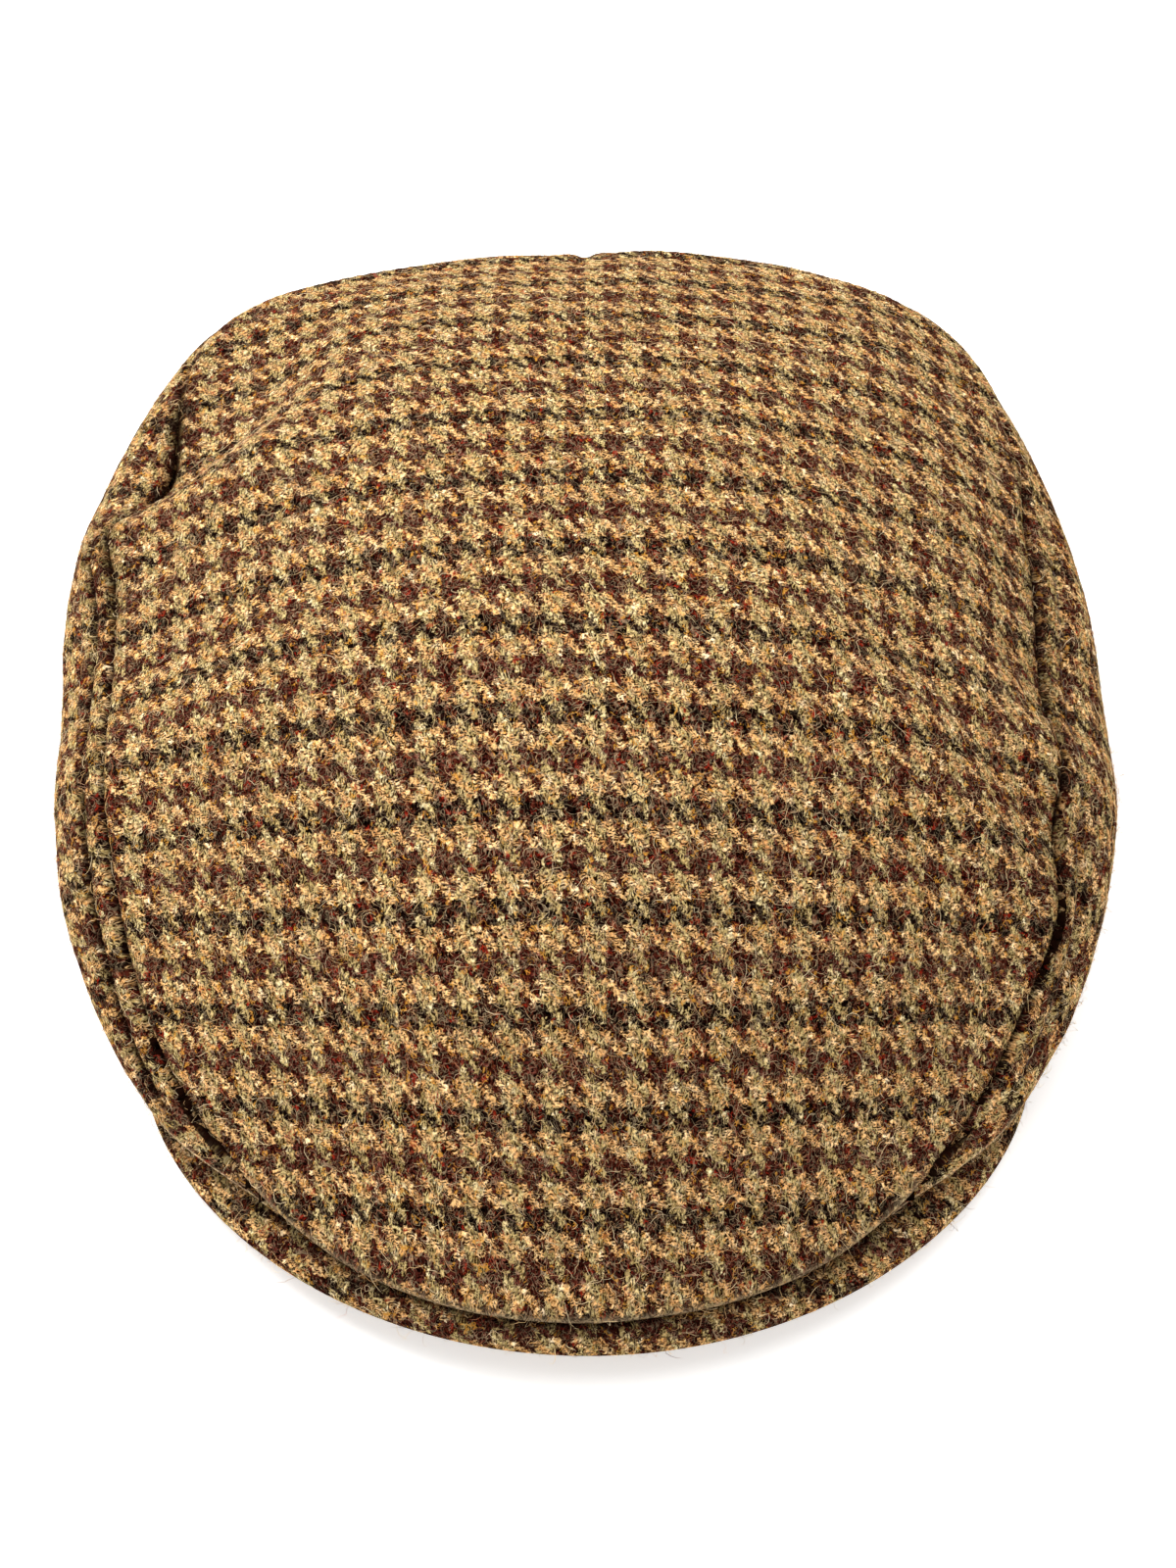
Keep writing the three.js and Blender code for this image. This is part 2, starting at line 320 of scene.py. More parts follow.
def applied(obj):
    """The object's mesh with its modifiers applied"""
    shaped = obj.evaluated_get(bpy.context.evaluated_depsgraph_get())
    mesh = bpy.data.meshes.new_from_object(shaped)
    obj.modifiers.clear()
    obj.data = mesh
    return mesh


def refined(obj, levels, keep_corners):
    """The net's smooth surface as a fine mesh"""
    smoother = obj.modifiers.new("smooth", "SUBSURF")
    smoother.levels = smoother.render_levels = levels
    smoother.boundary_smooth = "PRESERVE_CORNERS" if keep_corners else "ALL"
    mesh = applied(obj)
    mesh.polygons.foreach_set("use_smooth", [True] * len(mesh.polygons))
    return mesh


class SeamLine:
    """A closed line of sewing, as points in order round it"""

    def __init__(self, mesh):
        net = bmesh.new()
        net.from_mesh(mesh)
        start = next(vert for vert in net.verts if vert.is_boundary)
        ordered = [start]
        edge = next(edge for edge in start.link_edges if edge.is_boundary)
        vert = edge.other_vert(start)
        while vert is not start:
            ordered.append(vert)
            edge = next(other for other in vert.link_edges if other.is_boundary and other is not edge)
            vert = edge.other_vert(vert)
        self.order = [vert.index for vert in ordered]
        self.points = np.array([vert.co[:] for vert in ordered])
        self.normals = np.array([vert.normal[:] for vert in ordered])
        net.free()
        self.steps = np.roll(self.points, -1, axis=0) - self.points
        self.lengths = np.linalg.norm(self.steps, axis=1)
        self.starts = np.concatenate([[0], np.cumsum(self.lengths)[:-1]])
        self.total = self.lengths.sum()
        self.tree = KDTree(len(self.points))
        for index, point in enumerate(self.points):
            self.tree.insert(point, index)
        self.tree.balance()
        self.turns = np.full(len(self.points), math.pi / 2)

    def fold_against(self, panels):
        """Sets how far the cloth turns in along the line, to bring its edge and the panels' face to face"""
        points = np.concatenate([points_of(panel.data) for panel in panels])
        normals = np.concatenate([normals_of(panel.data) for panel in panels])
        nearest = nearest_index(self.points, points)
        facing = np.clip((normals[nearest] * self.normals).sum(axis=1), -1, 1)
        turns = (math.pi - np.arccos(facing)) / 2
        window = np.hanning(2 * TURN_EVENING + 3)[1:-1]
        around = np.concatenate([turns[-TURN_EVENING:], turns, turns[:TURN_EVENING]])
        self.turns = np.convolve(around, window / window.sum(), mode="valid")

    def turn(self, along):
        return np.interp(along, self.starts, self.turns, period=self.total)

    def sunk_at(self, along, mesh):
        """Where the line's points at these lengths are, now that the mesh it was taken from is shaped"""
        sunk = points_of(mesh)[self.order]
        return np.column_stack([np.interp(along, self.starts, axis, period=self.total) for axis in sunk.T])

    def measure(self, places):
        """How far each place is from the line, and how far along the line its nearest point lies"""
        nearest = np.array([self.tree.find(place)[1] for place in places])
        distance = np.full(len(places), np.inf)
        along = np.zeros(len(places))
        for segment in (nearest, nearest - 1):
            start = self.points[segment]
            step = self.steps[segment]
            share = ((places - start) * step).sum(axis=1) / (step * step).sum(axis=1)
            share = np.clip(share, 0, 1)
            gap = np.linalg.norm(start + step * share[:, None] - places, axis=1)
            closer = gap < distance
            distance[closer] = gap[closer]
            along[closer] = (self.starts[segment] + share * self.lengths[segment])[closer]
        return distance, along

    def nearest(self, place):
        _, along = self.measure(np.array([place]))
        return self.at(along)[0][0]

    def drawn_up(self, places, reach):
        """The places, with those next to the line pulled onto it"""
        distance, along = self.measure(places)
        near = bell(distance, reach)[:, None]
        return places + (self.at(along)[0] - places) * near

    def at(self, along):
        """The points of the line at these lengths along it, and the line's direction there"""
        along = np.mod(along, self.total)
        segment = np.searchsorted(self.starts, along, side="right") - 1
        share = (along - self.starts[segment]) / self.lengths[segment]
        point = self.points[segment] + self.steps[segment] * share[:, None]
        return point, self.steps[segment] / self.lengths[segment][:, None]


def azimuth_of(points):
    """Degrees round from the front of the crown, the same on both sides"""
    x = np.abs(points[:, 0] - CROWN_CENTRE.x)
    y = CROWN_CENTRE.y - points[:, 1]
    return np.degrees(np.arctan2(x, y))


def ripple(points, size, seed):
    """A slow unevenness of the cloth, from -1 to 1"""
    offset = Vector((seed * 3.1, seed * 1.7, seed * 5.3))
    return np.array([noise.noise(Vector(point) / size + offset) for point in points])


def unevenness(points, ripples, seed):
    return sum(height * ripple(points, size, seed + row) for row, (height, size) in enumerate(ripples))


def rolled(points, normals, reach, turn):
    """Moves that roll a cloth edge over: its last `reach` turns through `turn`, and its line stays"""
    distance, along = seam.measure(points)
    edge, way = seam.at(along)
    outward = np.cross(way, normals)
    outward /= np.linalg.norm(outward, axis=1)[:, None]
    outward *= np.sign(((edge - points) * outward).sum())
    flat = np.minimum(distance, reach)
    radius = reach / turn
    angle = (1 - flat / reach) * turn
    widest = radius * np.sin(np.minimum(turn, math.pi / 2))
    feed = (reach - widest) * np.clip(1 - distance / ROLL_STRETCH, 0, 1) ** 2
    out = radius * np.sin(angle) - (reach - flat) + feed
    down = radius * (1 - np.cos(angle))
    return outward * out[:, None] - normals * down[:, None]


def sewn_edge(points, normals, reach, turn):
    """Moves that take a panel's edge into the seam: rolled at the front and sides, drawn in at the back"""
    distance, _ = seam.measure(points)
    behind = fade(azimuth_of(points), BACK_FROM - BACK_BLEND, BACK_FROM)
    drawn = normals * (BACK_GROOVE * valley(distance, BACK_HALF) * behind)[:, None]
    return rolled(points, normals, reach, turn) * (1 - behind)[:, None] - drawn


def valley(distance, half):
    return np.clip(1 - np.abs(distance) / half, 0, 1) ** 1.3


def hump(distance, half):
    return np.clip(1 - (distance / half) ** 2, 0, 1)


def shade(distance, core):
    """The painted shade along a seam's line, with a softer painted shade beside it"""
    return np.maximum(bell(distance, core), HALO_SHADE * bell(distance, core * HALO))


def puffed(distance):
    return PUFF * bell(distance - PUFF_PLACE, PUFF_WIDTH)


def keep(mesh, name, values):
    """Notes a value for each point, for the cloth's finish and later steps to read"""
    layer = mesh.attributes.new(name, "FLOAT", "POINT")
    layer.data.foreach_set("value", values)


def kept(mesh, name):
    return read(mesh.attributes[name].data, "value")


def nearest_index(places, others):
    tree = KDTree(len(others))
    for index, point in enumerate(others):
        tree.insert(point, index)
    tree.balance()
    return np.array([tree.find(place)[1] for place in places])


def nearest_distance(places, others):
    return np.linalg.norm(others[nearest_index(places, others)] - places, axis=1)


def hem_edges(net):
    """The edges along a side panel's lower border, away from the seams"""
    border = [edge for edge in net.edges if edge.is_boundary]
    middles = np.array([(edge.verts[0].co + edge.verts[1].co) / 2 for edge in border])
    below_seam = seam.measure(middles)[0] > HEM_CLEAR
    beside_back = np.abs(middles[:, 0] - MIDDLE_X) > HEM_BACK_CLEAR
    return [edge for edge, chosen in zip(border, below_seam & beside_back) if chosen]


# The places along the folds that have a painted highlight
def highlit_fold_places(mesh):
    return points_of(mesh)[kept(mesh, "wear") > 0.5]


def even_out(mesh, chosen):
    """Smooths the chosen points, but not the mesh's border"""
    net = bmesh.new()
    net.from_mesh(mesh)
    verts = [vert for vert, wanted in zip(net.verts, chosen) if wanted and not vert.is_boundary]
    for _ in range(CORNER_ROUNDS):
        bmesh.ops.smooth_vert(net, verts=verts, factor=0.5, use_axis_x=True, use_axis_y=True, use_axis_z=True)
    net.to_mesh(mesh)
    net.free()


def set_points(mesh, points):
    mesh.vertices.foreach_set("co", points.ravel())
    mesh.update()


def give_wall(obj):
    """The cloth's thickness, inwards"""
    wall = obj.modifiers.new("cloth", "SOLIDIFY")
    wall.thickness = CLOTH
    wall.offset = -1
    outer_count = len(obj.data.vertices)
    mesh = applied(obj)

    # The weave goes on over the cut edge
    inner = corners_of(mesh) >= outer_count
    starts = read(mesh.polygons, "loop_start", kind=np.int32)
    both = np.logical_or.reduceat(inner, starts) & ~np.logical_and.reduceat(inner, starts)
    sizes = np.diff(np.append(starts, len(inner)))
    _, flat = corner_points(mesh)
    flat[np.repeat(both, sizes) & inner] += (CLOTH / END_PITCH, CLOTH / PICK_PITCH)
    mesh.uv_layers["Weave"].uv.foreach_set("vector", flat.ravel())
    return mesh


def round_off(net, edges, offset, segments):
    settings = {"offset_type": "OFFSET", "affect": "EDGES", "profile": 0.5, "material": -1}
    bmesh.ops.bevel(net, geom=edges, offset=offset, segments=segments, **settings)


def give_hemmed_wall(obj):
    """The cloth's thickness, inwards, rounded along the hem"""
    net = bmesh.new()
    net.from_mesh(obj.data)
    outer_count = len(net.verts)
    pairs = {frozenset(vert.index for vert in edge.verts) for edge in hem_edges(net)}
    net.free()

    mesh = give_wall(obj)
    net = bmesh.new()
    net.from_mesh(mesh)
    ends = ((edge, frozenset(vert.index % outer_count for vert in edge.verts)) for edge in net.edges)
    round_off(net, [edge for edge, pair in ends if pair in pairs], HEM_ROUND, 2)
    net.to_mesh(mesh)
    net.free()


def woven_panel(name, net, levels, keep_corners, strip, shift, blocking=0.0):
    mesh = bpy.data.meshes.new(name)
    net.to_mesh(mesh)
    net.free()
    obj = new_object(name, mesh)
    lay_flat(obj)
    set_grain(mesh, strip, shift, blocking)
    refined(obj, levels, keep_corners)
    return obj


def dress(obj, node):
    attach(obj, "root")
    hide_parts(node)


# Materials


def expression(operation, turned=False):
    def worked_out(self, other):
        return self.finish.math(operation, *((other, self) if turned else (self, other)))

    return worked_out


class Value:
    """A socket of a finish, for use in expressions"""

    def __init__(self, finish, socket):
        self.finish = finish
        self.socket = socket

    def __abs__(self):
        return self.finish.math("ABSOLUTE", self)

    __add__ = expression("ADD")
    __radd__ = expression("ADD", turned=True)
    __sub__ = expression("SUBTRACT")
    __rsub__ = expression("SUBTRACT", turned=True)
    __mul__ = expression("MULTIPLY")
    __rmul__ = expression("MULTIPLY", turned=True)
    __lt__ = expression("LESS_THAN")
    __mod__ = expression("FLOORED_MODULO")
    __pow__ = expression("POWER")


class Finish:
    """A material whose nodes are written as expressions"""

    def __init__(self, name):
        self.material = bpy.data.materials.new(name)
        self.material.use_nodes = True
        self.tree = self.material.node_tree
        self.tree.nodes.clear()

    def node(self, kind, settings=None, sockets=None, output=0):
        node = self.tree.nodes.new(kind)
        for key, value in (settings or {}).items():
            if key == "stops":
                self.set_stops(node.color_ramp, value)
            else:
                setattr(node, key, value)
        for key, value in (sockets or {}).items():
            if isinstance(value, Value):
                self.tree.links.new(value.socket, node.inputs[key])
            else:
                node.inputs[key].default_value = value
        return Value(self, node.outputs[output]) if node.outputs else None

    def set_stops(self, ramp, stops):
        while len(ramp.elements) < len(stops):
            ramp.elements.new(0.5)
        for element, (position, colour) in zip(ramp.elements, stops):
            element.position = position
            element.color = colour

    def math(self, operation, first, second=None):
        sockets = {0: first}
        if second is not None:
            sockets[1] = second
        return self.node("ShaderNodeMath", {"operation": operation}, sockets)

    def parts(self, vector):
        apart = self.node("ShaderNodeSeparateXYZ", None, {0: vector}).socket.node
        return [Value(self, socket) for socket in apart.outputs]

    def vector(self, x=0.0, y=0.0, z=0.0):
        return self.node("ShaderNodeCombineXYZ", None, {0: x, 1: y, 2: z})

    def scaled(self, vector, factors):
        return self.node("ShaderNodeVectorMath", {"operation": "MULTIPLY"}, {0: vector, 1: factors})

    def noise(self, vector, scale=1.0, detail=2.0, roughness=0.5, distortion=0.0, output=0):
        sockets = {
            "Vector": vector,
            "Scale": scale,
            "Detail": detail,
            "Roughness": roughness,
            "Distortion": distortion,
        }
        return self.node("ShaderNodeTexNoise", None, sockets, output)

    def mix(self, factor, first, second):
        return self.node("ShaderNodeMix", {"data_type": "RGBA"}, {0: factor, 6: first, 7: second}, 2)

    def choose(self, factor, first, second):
        return self.node("ShaderNodeMix", {"data_type": "FLOAT"}, {0: factor, 2: first, 3: second}, 0)

    def ramp(self, factor, stops):
        return self.node("ShaderNodeValToRGB", {"stops": stops}, {0: factor})

    def between(self, value, low, high):
        sockets = {"Value": value, "From Min": low, "From Max": high}
        settings = {"interpolation_type": "SMOOTHSTEP"}
        return self.node("ShaderNodeMapRange", settings, sockets)

    def surface(self, colour, roughness, height, depth, strength, constants):
        sockets = {"Base Color": colour, "Roughness": roughness, **constants}
        if height is not None:
            bump = {"Height": height, "Distance": depth, "Strength": strength}
            sockets["Normal"] = self.node("ShaderNodeBump", None, bump)
        shader = self.node("ShaderNodeBsdfPrincipled", None, sockets)
        self.node("ShaderNodeOutputMaterial", None, {"Surface": shader})
        return self.material


def srgb(red, green, blue):
    """A colour as it is read off a screen, 0 to 255, made linear"""
    def linear(level):
        share = level / 255
        return share / 12.92 if share <= 0.04045 else ((share + 0.055) / 1.055) ** 2.4

    return (linear(red), linear(green), linear(blue), 1.0)


# One row for each kind of yarn: the colours of the fibres that it is spun from
YARNS = {
    "light warp": [srgb(84, 64, 32), srgb(143, 121, 74), srgb(167, 147, 99), srgb(199, 185, 150)],
    "light weft": [srgb(126, 72, 34), srgb(177, 130, 78), srgb(199, 160, 107), srgb(222, 203, 168)],
    "dark warp": [srgb(12, 2, 1), srgb(50, 16, 9), srgb(66, 26, 16), srgb(110, 58, 36)],
    "soft dark weft": [srgb(16, 3, 2), srgb(50, 17, 12), srgb(71, 31, 24), srgb(110, 62, 48)],
    "deep dark weft": [srgb(2, 1, 1), srgb(12, 4, 3), srgb(24, 9, 7), srgb(60, 32, 22)],
}
# The colour of painted shade in seams, beside the ditch and on the peak under the lip
PAINTED_SHADE_COLOUR = srgb(20, 7, 4)
# Pale loose fibres, and the colour of the painted highlight on folded edges
PALE_FIBRE_AND_HIGHLIGHT = srgb(246, 214, 168)
RUST_FIBRE = srgb(176, 44, 26)
GOLD_FIBRE = srgb(244, 172, 70)
SHEEN_TINT = srgb(226, 178, 128)
FIBRE_STOPS = (0.3, 0.44, 0.56, 0.7)
TWILL = 1  # which way the twill climbs
WANDER = 1.2  # how far the yarns wander, in yarns
FELTING = 3.0  # and how far their edges are felted


def tweed():
    """Gun-club houndstooth: four light and four dark yarns each way in a two-and-two twill"""
    finish = Finish("tweed")
    cloth = finish.node("ShaderNodeUVMap", {"uv_map": "Weave"})

    def strands(scale, width, shift):
        """Fine fibres that curl about, as the lines where a slow noise passes its middle"""
        place = finish.node("ShaderNodeVectorMath", {"operation": "ADD"}, {0: cloth, 1: (shift, -shift, 0)})
        field = finish.noise(place, scale=scale, detail=1, roughness=0.5, distortion=1.0)
        return 1 - finish.between(abs(field - 0.5), 0.2 * width, width)

    # The yarns wander and their edges are felted, so the weave is read a little out of place
    wander = finish.noise(cloth, scale=0.33, detail=1, output=1)
    felted = finish.noise(cloth, scale=1.3, detail=3, roughness=0.7, output=1)
    wander_x, wander_y, _ = finish.parts(wander)
    felted_x, felted_y, _ = finish.parts(felted)
    across, along, _ = finish.parts(cloth)
    across = across + (wander_x - 0.5) * WANDER + (felted_x - 0.5) * FELTING
    along = along + (wander_y - 0.5) * WANDER + (felted_y - 0.5) * FELTING

    end = finish.math("FLOOR", across)
    pick = finish.math("FLOOR", along)
    in_end = across - end
    in_pick = along - pick
    step = (end + pick * TWILL) % 4
    warp_up = step < 1.5

    # How high the yarn on top stands: round across itself, and bent down at both ends of its float
    warp_float = ((step % 2) + in_pick) * 0.5
    weft_float = ((step % 2) + in_end) * 0.5
    warp_round = finish.math("SINE", in_end * math.pi)
    weft_round = finish.math("SINE", in_pick * math.pi)
    warp_bend = finish.math("SINE", warp_float * math.pi)
    weft_bend = finish.math("SINE", weft_float * math.pi)
    height = finish.choose(warp_up, weft_round * weft_bend, warp_round * warp_bend) ** 0.5

    # Each yarn is spun from fibres of several colours
    warp_spun = finish.noise(finish.vector(end * 3.17, along * 0.7), detail=3, roughness=0.7)
    weft_spun = finish.noise(finish.vector(across * 0.7, pick * 2.71, 9.0), detail=3, roughness=0.7)

    def yarn(kind, spun):
        return finish.ramp(spun, list(zip(FIBRE_STOPS, YARNS[kind])))

    light_end = (end % REPEAT) < 3.5
    light_pick = (pick % REPEAT) < 3.5
    soft_pick = (pick % (2 * REPEAT)) < 7.5
    warp = finish.mix(light_end, yarn("dark warp", warp_spun), yarn("light warp", warp_spun))
    dark_weft = finish.mix(soft_pick, yarn("deep dark weft", weft_spun), yarn("soft dark weft", weft_spun))
    weft = finish.mix(light_pick, dark_weft, yarn("light weft", weft_spun))
    colour = finish.mix(warp_up, weft, warp)

    # The fibres of a yarn run along it; the colour gets painted shade in the gaps between them, between the
    # yarns and at the ends of each float, and painted light on the fibres and the raised middle of each float
    sway = finish.noise(cloth, scale=0.7, detail=1, roughness=0.4)
    curl = finish.noise(cloth, scale=0.5, detail=1, roughness=0.4, distortion=0.6)
    fleece = finish.noise(cloth, scale=1.4, detail=2, roughness=0.7)
    flat_across, flat_along, _ = finish.parts(cloth)

    def lines(phase):
        return finish.between(finish.math("SINE", phase * 2 * math.pi), -0.5, 0.7)

    warp_fibres = lines(flat_across * 1.5 + sway * 3)
    weft_fibres = lines(flat_along * 1.8 + sway * 3 + 0.3)
    fibres = finish.choose(warp_up, weft_fibres, warp_fibres)
    curls = lines(curl * 6)
    depth = finish.math("MAXIMUM", fibres * 0.85, curls) * finish.between(fleece, 0.27, 0.62)
    # Painted light and shade, redder where it is darker
    light = (0.03 + 2.15 * depth) * (0.55 + 0.55 * height)
    shade = finish.math("MINIMUM", light, 1.0)
    colour = finish.scaled(colour, finish.vector(light, light * shade ** 0.2, light * shade ** 0.4))

    # Loose fibres curl across the yarns
    patches = finish.between(finish.noise(cloth, scale=0.4, detail=2), 0.4, 0.6)
    pale = finish.math("MAXIMUM", strands(0.42, 0.018, 3.0), strands(0.6, 0.026, 21.0) * patches)
    pale = finish.math("MAXIMUM", pale, strands(0.5, 0.018, 47.0) * (1 - patches))
    bright = finish.mix(0.3, finish.scaled(colour, (1.6, 1.6, 1.6)), PALE_FIBRE_AND_HIGHLIGHT)
    colour = finish.mix(pale * 0.85, colour, bright)

    # A few fibres of stronger colour
    rust = strands(0.8, 0.06, 57.0) * finish.between(finish.noise(cloth, scale=0.4, detail=2), 0.6, 0.66)
    colour = finish.mix(rust * 0.6, colour, RUST_FIBRE)
    gold = strands(0.8, 0.06, 83.0) * finish.between(finish.noise(cloth, scale=0.45, detail=2), 0.58, 0.64)
    colour = finish.mix(gold * 0.6, colour, GOLD_FIBRE)

    # Folded edges get a painted highlight, and seams, the ditch and the peak under the lip get painted shade,
    # as little light reaches into them
    wear = finish.node("ShaderNodeAttribute", {"attribute_name": "wear"}, None, 2)
    colour = finish.mix(wear * (0.25 + 0.55 * curls), colour, PALE_FIBRE_AND_HIGHLIGHT)
    crease = finish.node("ShaderNodeAttribute", {"attribute_name": "crease"}, None, 2)
    colour = finish.mix(crease, colour, PAINTED_SHADE_COLOUR)

    felt = finish.noise(cloth, scale=4.0, detail=3, roughness=0.7)
    relief = height * 0.6 + depth * 0.6 + pale * 0.4 + felt * 0.2
    roughness = 0.86 + felt * 0.12
    sheen = {"Sheen Weight": 0.02, "Sheen Roughness": 0.4, "Sheen Tint": SHEEN_TINT}
    return finish.surface(colour, roughness, relief, 0.35 * MM, 0.8, {**sheen, "Specular IOR Level": 0.0})


def wool_fibre():
    finish = Finish("wool_fibre")
    tint = finish.node("ShaderNodeAttribute", {"attribute_name": "tint"}, None, 2)
    stops = [
        (0.0, srgb(92, 50, 24)),
        (0.2, srgb(186, 130, 70)),
        (0.55, srgb(230, 188, 122)),
        (0.9, srgb(252, 228, 180)),
        (0.96, srgb(196, 104, 44)),
    ]
    colour = finish.ramp(tint, stops)
    return finish.surface(colour, 0.7, None, 0, 0, {"Sheen Weight": 0.2})


def sewing_thread():
    finish = Finish("sewing_thread")
    place = finish.node("ShaderNodeTexCoord", None, None, 3)
    ply = finish.noise(place, scale=3200, detail=1)
    colour = finish.ramp(ply, [(0.3, srgb(44, 25, 15)), (0.7, srgb(78, 50, 32))])
    return finish.surface(colour, 0.75, ply, 0.05 * MM, 0.5, {"Sheen Weight": 0.15})


# Panels

tweed_cloth = tweed()
fibre_wool = wool_fibre()
thread = sewing_thread()


def near_middle(points):
    return np.abs(points[:, 0] - MIDDLE_X) < CROWN_STRIP


def near_half_way(points):
    return np.abs(points[:, 1] - SIDE_MIDDLE_Y) < SIDE_STRIP


def blocked(points):
    """How blocking draws the crown's weft: forwards at the back corners, backwards at the front"""
    x, y = (points[:, :2] - CROWN_CENTRE[:2]).T / BLOCKED_HALF
    return x * x * y


crown = woven_panel("tweed_crown_top", top_net("crown_top"), 2, False, near_middle, (0.0, 0.0), BLOCKING)
seam = SeamLine(crown.data)
left = woven_panel("tweed_side_left", side_net("side_left", -1), 3, True, near_half_way, (2.0, 3.0))
right = woven_panel("tweed_side_right", side_net("side_right", 1), 3, True, near_half_way, (5.0, 6.0))

seam.fold_against([left, right])


def seam_shown(points, azimuth):
    """How dark the painted shade along the seam's line is: it runs out towards the back, sooner on the right
    """
    on_right = 1 - fade(azimuth, *RIGHT_LINE_END)
    on_left = 1 - fade(azimuth, *LEFT_LINE_END)
    return np.where(points[:, 0] > MIDDLE_X, on_right, on_left)


def in_ditch(points, azimuth):
    """How much wider and darker the painted shade by the seam is: along the right, and at the back of the
    left, the crown bulges over its seam, which lies in a ditch
    """
    on_right, on_left = (
        fade(azimuth, *begins) * (1 - fade(azimuth, *ends)) for begins, ends in (RIGHT_DITCH, LEFT_DITCH)
    )
    return np.where(points[:, 0] > MIDDLE_X, on_right, on_left)


def shape_crown(obj):
    mesh = obj.data
    points, normals = points_of(mesh), normals_of(mesh)
    distance, along = seam.measure(points)
    azimuth = azimuth_of(points)
    front = 1 - fade(azimuth, *LIP_END)
    reach = CROWN_ROLL + (LIP_ROLL - CROWN_ROLL) * front
    turn = seam.turn(along) * (1 - front) + LIP_TURN * front
    pucker = np.cos(along * 2 * math.pi / STITCH_PITCH) * (1 - front)
    lift = puffed(distance) + LIP_LIFT * bell(distance, LIP_SPREAD) * front
    lift += PUCKER * pucker * bell(distance - PUCKER_PLACE, PUCKER_PLACE)
    lift += unevenness(points, CROWN_RIPPLES, 1)
    set_points(mesh, points + sewn_edge(points, normals, reach, turn) + normals * lift[:, None])
    even_out(mesh, (np.abs(azimuth - NET_CORNER) < CORNER_SPAN) & (distance < CORNER_DEPTH))
    # Painted shade along the seam's line, wider under the lip and beside the ditch
    core = SEAM_CORE * (1 + LIP_BOLDNESS * front + in_ditch(points, azimuth))
    keep(mesh, "crease", shade(distance, core) * seam_shown(points, azimuth))
    # A painted highlight along the crest of the lip's fold
    keep(mesh, "wear", bell(distance - LIP_CREST, LIP_HIGHLIGHT) * front)


def shape_side(obj, seed, stitched):
    """Rolls a side panel's edge into the seam, and draws in the line below it by the share `stitched`"""
    mesh = obj.data
    set_points(mesh, seam.drawn_up(points_of(mesh), SEAM_GRIP))
    points, normals = points_of(mesh), normals_of(mesh)
    distance, along = seam.measure(points)
    azimuth = azimuth_of(points)
    sewn = stitched * fade(azimuth, *GROOVE_START) * (1 - fade(azimuth, *GROOVE_END))
    pucker = np.cos(along * 2 * math.pi / STITCH_PITCH)
    back = np.where(points[:, 1] > BACK_Y, np.abs(points[:, 0] - MIDDLE_X), np.inf)

    # The welt, the stitched groove, the back seam and the cloth's own fullness
    welt = WELT_LIFT * hump(distance - WELT_HALF, WELT_HALF)
    groove = -STITCH_DEPTH * valley(distance - STITCH_LINE, STITCH_HALF) * (1 - STITCH_PUCKER * (1 - pucker))
    puff = STITCH_PUFF * bell(distance - STITCH_LINE - STITCH_PUFF_PLACE, STITCH_PUFF_WIDTH)
    lift = (welt + groove + puff) * sewn
    lift += puffed(back) - BACK_GROOVE * valley(back, CENTRE_HALF)
    wide = fade(points[:, 2], 0, EVEN_RIM)
    lift += SIDE_FULLNESS * wide * fade(distance, *FULL_BETWEEN)
    lift += unevenness(points, SIDE_RIPPLES, seed) * wide

    # The front end goes in under the lip, and the edges meet those of the other panels
    inward = (np.array(HOLLOW) - points) * (1, 1, 0)
    inward /= np.linalg.norm(inward, axis=1)[:, None]
    tucked = inward * (FRONT_TUCK * (1 - fade(azimuth, *TUCK_END)))[:, None]
    edge = sewn_edge(points, normals, SIDE_ROLL, seam.turn(along))
    moved = points + edge + tucked + normals * lift[:, None]
    joined = bell(distance, SEWN_ON) * (1 - fade(azimuth, *JOIN_END))
    moved += (seam.sunk_at(along, crown.data) - moved) * joined[:, None]
    moved[back < 0.1 * MM, 0] = MIDDLE_X - BACK_LAP * np.sign(points[:, 0].mean() - MIDDLE_X)
    set_points(mesh, moved)

    # The painted shades of the seams, the stitched groove and the ditch, and the painted highlight on the fold
    # at the front
    ditch = in_ditch(points, azimuth)
    in_seam = shade(distance, SEAM_CORE * (1 + ditch)) * seam_shown(points, azimuth)
    in_groove = shade(distance - STITCH_LINE, STITCH_CORE) * sewn
    below = DITCH_SHADE * bell(distance, DITCH_WIDTH) * ditch
    keep(mesh, "crease", np.maximum.reduce([in_seam, in_groove, below, shade(back, SEAM_CORE)]))
    keep(mesh, "below_seam", distance)
    # A painted highlight on the fold at the front, where the normal turns under
    turned_under = bell(normals[:, 2] - FOLD_FACING, FOLD_SPREAD)
    keep(mesh, "wear", turned_under * (1 - fade(azimuth, *FOLD_END)))


shape_crown(crown)
shape_side(left, 3, stitched=1.0)
shape_side(right, 5, stitched=0.35)


